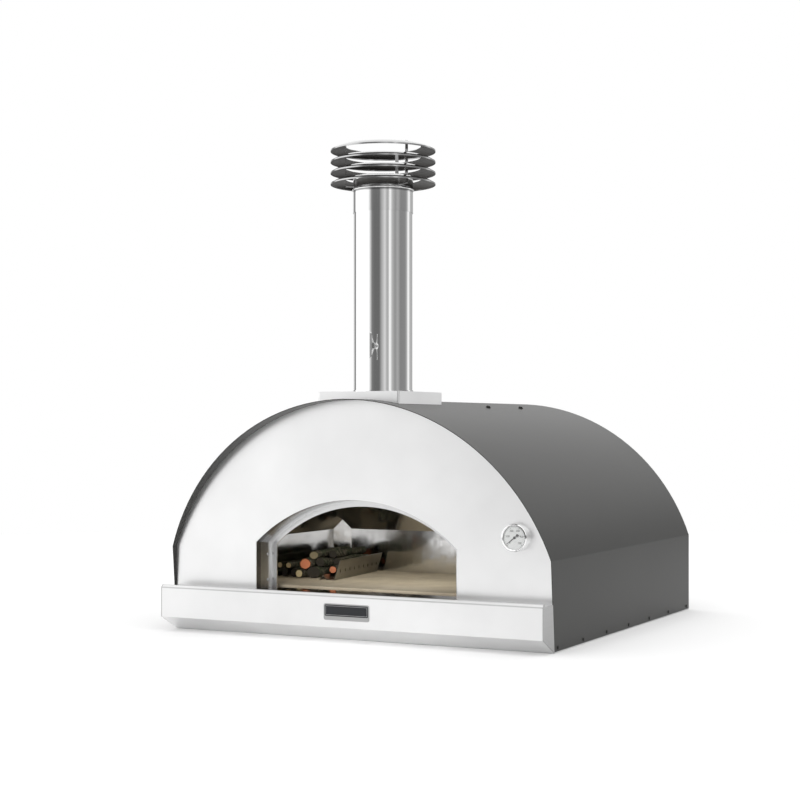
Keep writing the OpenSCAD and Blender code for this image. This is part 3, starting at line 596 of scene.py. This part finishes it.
rings.inputs[1].default_value = YEAR_RINGS
wire(tree, rings.outputs[0], wave.inputs[0])
pale = tint(tree, spread(tree, wave.outputs[0], 0, 1, -1, 1), [(0.0, (0.40, 0.31, 0.15)), (1.0, (0.66, 0.56, 0.34))])
rust = tint(tree, spread(tree, wave.outputs[0], 0, 1, -1, 1), [(0.0, (0.42, 0.13, 0.06)), (1.0, (0.60, 0.23, 0.12))])
face = blended(tree, warm.outputs["Fac"], pale, rust)
skin = tint(tree, rim.outputs["Fac"], [(0.86, grey(1.0)), (0.93, grey(0.12))])
face = blended(tree, 1.0, face, skin, "MULTIPLY")
face = blended(tree, old.outputs["Fac"], face, (0.03, 0.026, 0.02))
wire(tree, blended(tree, cut.outputs["Fac"], bark, face), shader.inputs["Base Color"])
relief(tree, shader, fissure, 0.8, 0.0015)

# %% [markdown]
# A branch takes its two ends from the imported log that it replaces, so the pile keeps its shape.
# A plain cylinder would need bark painted on; here the surface itself rises and falls.

# %% One branch
AROUND, ALONG, CAP = 56, 120, 9


def branch(name, node, radius, seed, warmth, age, slant=0.0):
    """Radius = base x (1 + slow waver + knots + bark ridges), swept along a straight line bent by two sines."""
    low, high = (np.array(corner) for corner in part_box(node))
    mesh = nodes[node].data
    corners = np.empty(len(mesh.vertices) * 3)
    mesh.vertices.foreach_get("co", corners)
    corners = corners.reshape(-1, 3)
    front = corners[corners[:, 1] < low[1] + 0.3 * (high[1] - low[1])]
    back = corners[corners[:, 1] > high[1] - 0.3 * (high[1] - low[1])]
    start, end = (0.5 * (part.min(0) + part.max(0)) for part in (front, back))
    axis = (end - start) / np.linalg.norm(end - start)
    side = np.cross(axis, (0, 0, 1))
    side /= np.linalg.norm(side)
    rise = np.cross(side, axis)
    rng = np.random.default_rng(seed)
    along, around = np.meshgrid(np.linspace(0, 1, ALONG), np.arange(AROUND) / AROUND, indexing="ij")
    slow = soft_grid(around, along, 4, 5, seed + 1)
    ridge = 1 - np.abs(soft_grid(around + 0.05 * slow, along, 17, 14, seed + 2)) * 2
    fine = soft_grid(around, along, 40, 90, seed + 3)
    knot_at, knot_turn = rng.uniform(0.2, 0.85, 3), rng.uniform(0, 1, 3)
    knots = sum(np.exp(-((along - a) / 0.05) ** 2 - (((around - t + 0.5) % 1 - 0.5) / 0.08) ** 2)
                for a, t in zip(knot_at, knot_turn))
    taper = 1 - 0.10 * along
    r = radius * taper * (0.90 + 0.06 * slow + 0.045 * ridge + 0.02 * fine + 0.16 * knots)
    phase = rng.uniform(0, 2 * math.pi, 4)
    bend_side = 0.10 * radius * (np.sin(5 * along + phase[0]) + np.sin(11 * along + phase[1]))
    bend_rise = 0.10 * radius * (np.sin(6 * along + phase[2]) + np.sin(9 * along + phase[3]))
    angle = 2 * math.pi * around
    across_side, across_rise = r * np.cos(angle), r * np.sin(angle)
    lean = slant * across_side * np.exp(-along * 9) - 0.2 * slant * across_rise * np.exp(-(1 - along) * 9)
    place_on = (start + (end - start) * along[..., None] + side * (bend_side + across_side)[..., None]
                + rise * (bend_rise + across_rise)[..., None] + axis * lean[..., None])
    points = [place_on.reshape(-1, 3)]
    rim_values = [np.ones(AROUND * ALONG)]
    faces = [grid_faces(ALONG, AROUND, True)]
    count = AROUND * ALONG
    for row, flip in ((0, False), (ALONG - 1, True)):
        share = np.linspace(1, 0, CAP, endpoint=False)[:, None, None]
        centre = place_on[row].mean(0)
        cap = centre + share * (place_on[row] - centre)
        ring_faces = grid_faces(CAP, AROUND, True)
        hub = count + CAP * AROUND
        last = count + (CAP - 1) * AROUND
        fan = [[last + i, last + (i + 1) % AROUND, hub] for i in range(AROUND)]
        quads = ring_faces + count
        faces.append(quads if flip else quads[:, ::-1])
        faces.append(fan if flip else [f[::-1] for f in fan])
        points += [cap.reshape(-1, 3), centre[None]]
        rim_values += [np.repeat(share.ravel(), AROUND), np.zeros(1)]
        count = hub + 1
    total = np.concatenate(points)
    rim_all = np.concatenate(rim_values)
    cut_all = np.ones(len(total))
    cut_all[:AROUND * ALONG] = 0
    merged = [f for part in faces for f in (part.tolist() if hasattr(part, "tolist") else part)]
    values = {"rim": rim_all, "cut": cut_all, "warmth": np.full(len(total), warmth),
              "age": np.full(len(total), age)}
    made = mesh_object(name, total, merged, wood, values)
    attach(made, "log_load")
    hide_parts(node)
    return made


# %% The pile
# Radius in millimetres, warmth of the cut (0 yellow, 1 orange-red), its age (0 fresh, 1 dark) and its slant
LOGS = [(13, 0.0, 0.0, 0.05), (14, 0.4, 1.0, 0.1), (18, 0.1, 1.0, 0.5), (9.5, 0.1, 0.1, 0.1),
        (17, 1.0, 0.0, 0.35), (12, 1.0, 0.1, 0.2), (14, 0.3, 1.0, 0.2), (13, 0.0, 0.7, 0.6),
        (11, 0.6, 1.0, 0.1), (13, 0.4, 1.0, 0.2)]
for index, (radius_mm, warmth, age, slant) in enumerate(LOGS, 1):
    branch(f"branch_{index}", f"log_{index}", radius_mm / 1000, 40 + index * 7, warmth, age, slant)
print("branches:", len(LOGS))

# %% [markdown]
# ## Dial print
#
# The scale of the thermometer is printed on its white face. Ticks are thin bars worked out from their angle,
# a long one at each hundred and short ones between. The numbers are plain type made into a mesh.

# %% Ticks
dial_low, dial_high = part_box("thermometer_dial")
dial_centre = np.array([(dial_low[0] + dial_high[0]) / 2, dial_low[1], (dial_low[2] + dial_high[2]) / 2])
dial_radius = (dial_high[0] - dial_low[0]) / 2
INK_LIFT = 0.0003
SCALE_START, SCALE_SWEEP, SCALE_TOP = 225.0, 270.0, 500
SHORT_EVERY, LONG_EVERY = 20, 100
NUMBER_SIZE = 0.0072


def dial_point(radius, clock):
    """A point on the dial's face at a radius and a clockwise angle from the top, in degrees."""
    turn = np.radians(clock)
    return dial_centre + np.stack([radius * np.sin(turn), 0 * turn - INK_LIFT, radius * np.cos(turn)], -1)


marks = np.arange(0, SCALE_TOP + 1, SHORT_EVERY)
clock = SCALE_START + SCALE_SWEEP * marks / SCALE_TOP
long = marks % LONG_EVERY == 0
outer = np.full(len(marks), 0.93 * dial_radius)
inner = np.where(long, 0.78, 0.86) * dial_radius
half = np.degrees(np.where(long, 0.00032, 0.00018) / dial_radius)
corners = np.stack([dial_point(inner, clock - half), dial_point(inner, clock + half),
                    dial_point(outer, clock + half), dial_point(outer, clock - half)], 1)
tick_faces = np.arange(4 * len(marks)).reshape(-1, 4)[:, ::-1].tolist()
ticks = mesh_object("dial_ticks", corners.reshape(-1, 3), tick_faces, dial_ink, smooth=False)
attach(ticks, "oven")
print("ticks:", len(marks))

# %% Numbers
for value in range(0, SCALE_TOP + 1, LONG_EVERY):
    curve = bpy.data.curves.new("number", "FONT")
    curve.body = str(value)
    curve.size = NUMBER_SIZE
    curve.align_x, curve.align_y = "CENTER", "CENTER"
    curve.resolution_u = 3
    text = bpy.data.objects.new("number", curve)
    scene.collection.objects.link(text)
    bpy.context.view_layer.update()
    shape = bpy.data.meshes.new_from_object(text.evaluated_get(bpy.context.evaluated_depsgraph_get()))
    bpy.data.objects.remove(text)
    flat = np.empty(len(shape.vertices) * 3)
    shape.vertices.foreach_get("co", flat)
    flat = flat.reshape(-1, 3)
    middle = dial_point(0.62 * dial_radius, SCALE_START + SCALE_SWEEP * value / SCALE_TOP)
    stood = middle + np.stack([flat[:, 0], 0 * flat[:, 0], flat[:, 1]], 1)
    faces = [list(p.vertices) for p in shape.polygons]
    number = mesh_object(f"dial_number_{value}", stood, faces, dial_ink, smooth=False)
    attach(number, "oven")
print("numbers up to", SCALE_TOP)

# %% [markdown]
# The pointer is a thin blade that tapers to its tip, with a round balance weight behind the hub. Its blade is a
# short stack of cross sections. The weight and the hub are turned discs with soft edges.

# %% Pointer
# Millimetres along the blade and half its width there
BLADE = [(-11.0, 0.8), (-6.0, 0.9), (-2.0, 1.1), (4.0, 1.1), (14.0, 0.8), (24.0, 0.5), (29.0, 0.2)]
BLADE_T = 0.0008
DISCS = [(0.0, 3.4, 1.1), (-10.5, 3.6, 0.9)]  # mm along, radius, thickness
DISC_SIDES = 40
pin_low, pin_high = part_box("thermometer_needle")
pin_front = pin_low[1]
POINTER_CLOCK = 232.0
pointer_turn = math.radians(POINTER_CLOCK)
ahead = np.array([math.sin(pointer_turn), 0, math.cos(pointer_turn)])
beside = np.array([math.cos(pointer_turn), 0, -math.sin(pointer_turn)])
back_way = np.array([0, 1.0, 0])
hub = np.array([dial_centre[0], pin_front, dial_centre[2]])

blade = np.array(BLADE) / 1000
corner_side = np.array([-1, 1, 1, -1])[None, :, None]
corner_back = np.array([0, 0, 1, 1])[None, :, None]
sections = (hub + ahead * blade[:, None, :1] + beside * (blade[:, 1:, None] * corner_side)
            + back_way * (BLADE_T * corner_back))
blade_faces = grid_faces(len(blade), 4, True)[:, ::-1].tolist()
last_row = 4 * (len(blade) - 1)
blade_faces += [[0, 1, 2, 3], [last_row + k for k in (3, 2, 1, 0)]]
pointer_points = [sections.reshape(-1, 3)]
pointer_faces = blade_faces
total = 4 * len(blade)
for along_mm, radius_mm, thick_mm in DISCS:
    # Profile from the middle of the front, over the rounded edge, to the middle of the back
    profile = np.array([(0.02, 0.0), (0.8, 0.0), (0.95, 0.12), (1.0, 0.4), (1.0, 0.8), (0.9, 1.0), (0.02, 1.0)])
    swing = 2 * math.pi * np.arange(DISC_SIDES) / DISC_SIDES
    rim_out = profile[:, 0, None] * radius_mm / 1000
    disc = (hub + ahead * along_mm / 1000 + ahead * (rim_out * np.cos(swing))[..., None]
            + beside * (rim_out * np.sin(swing))[..., None]
            + back_way * ((profile[:, 1, None] - 0.3) * thick_mm / 1000 + 0 * swing)[..., None])
    disc_faces = (grid_faces(len(profile), DISC_SIDES, True)[:, ::-1] + total).tolist()
    first, end = list(range(total, total + DISC_SIDES)), total + DISC_SIDES * (len(profile) - 1)
    disc_faces += [first, list(range(end, end + DISC_SIDES))[::-1]]
    pointer_points.append(disc.reshape(-1, 3))
    pointer_faces = pointer_faces + disc_faces
    total += DISC_SIDES * len(profile)
pointer = mesh_object("thermometer_pointer", np.concatenate(pointer_points), pointer_faces, needle_black,
                      smooth=False)
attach(pointer, "needle")
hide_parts("thermometer_needle")
print("pointer faces:", len(pointer.data.polygons))

# %% [markdown]
# The badge on the shelf stays blank. A fine bright line runs round its dark field, as on any etched plate: one
# closed band between two rectangles, the width of a pen stroke.

# %% Line round the badge
LINE_INSET, LINE_WIDTH, LINE_LIFT = 0.003, 0.0009, 0.0002
field_low, field_high = (np.array(corner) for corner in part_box("name_plate_inset"))


def rectangle(inset):
    """The four corners of the badge's field, moved in by inset."""
    x0, x1 = field_low[0] + inset, field_high[0] - inset
    z0, z1 = field_low[2] + inset, field_high[2] - inset
    y = field_low[1] - LINE_LIFT
    return np.array([(x0, y, z0), (x1, y, z0), (x1, y, z1), (x0, y, z1)])


line_points = np.concatenate([rectangle(LINE_INSET), rectangle(LINE_INSET + LINE_WIDTH)])
line_faces = [[i, (i + 1) % 4, 4 + (i + 1) % 4, 4 + i] for i in range(4)]
badge_line = mesh_object("badge_line", line_points, line_faces, plate_metal, smooth=False)
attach(badge_line, "oven")
print("badge line inset:", LINE_INSET)
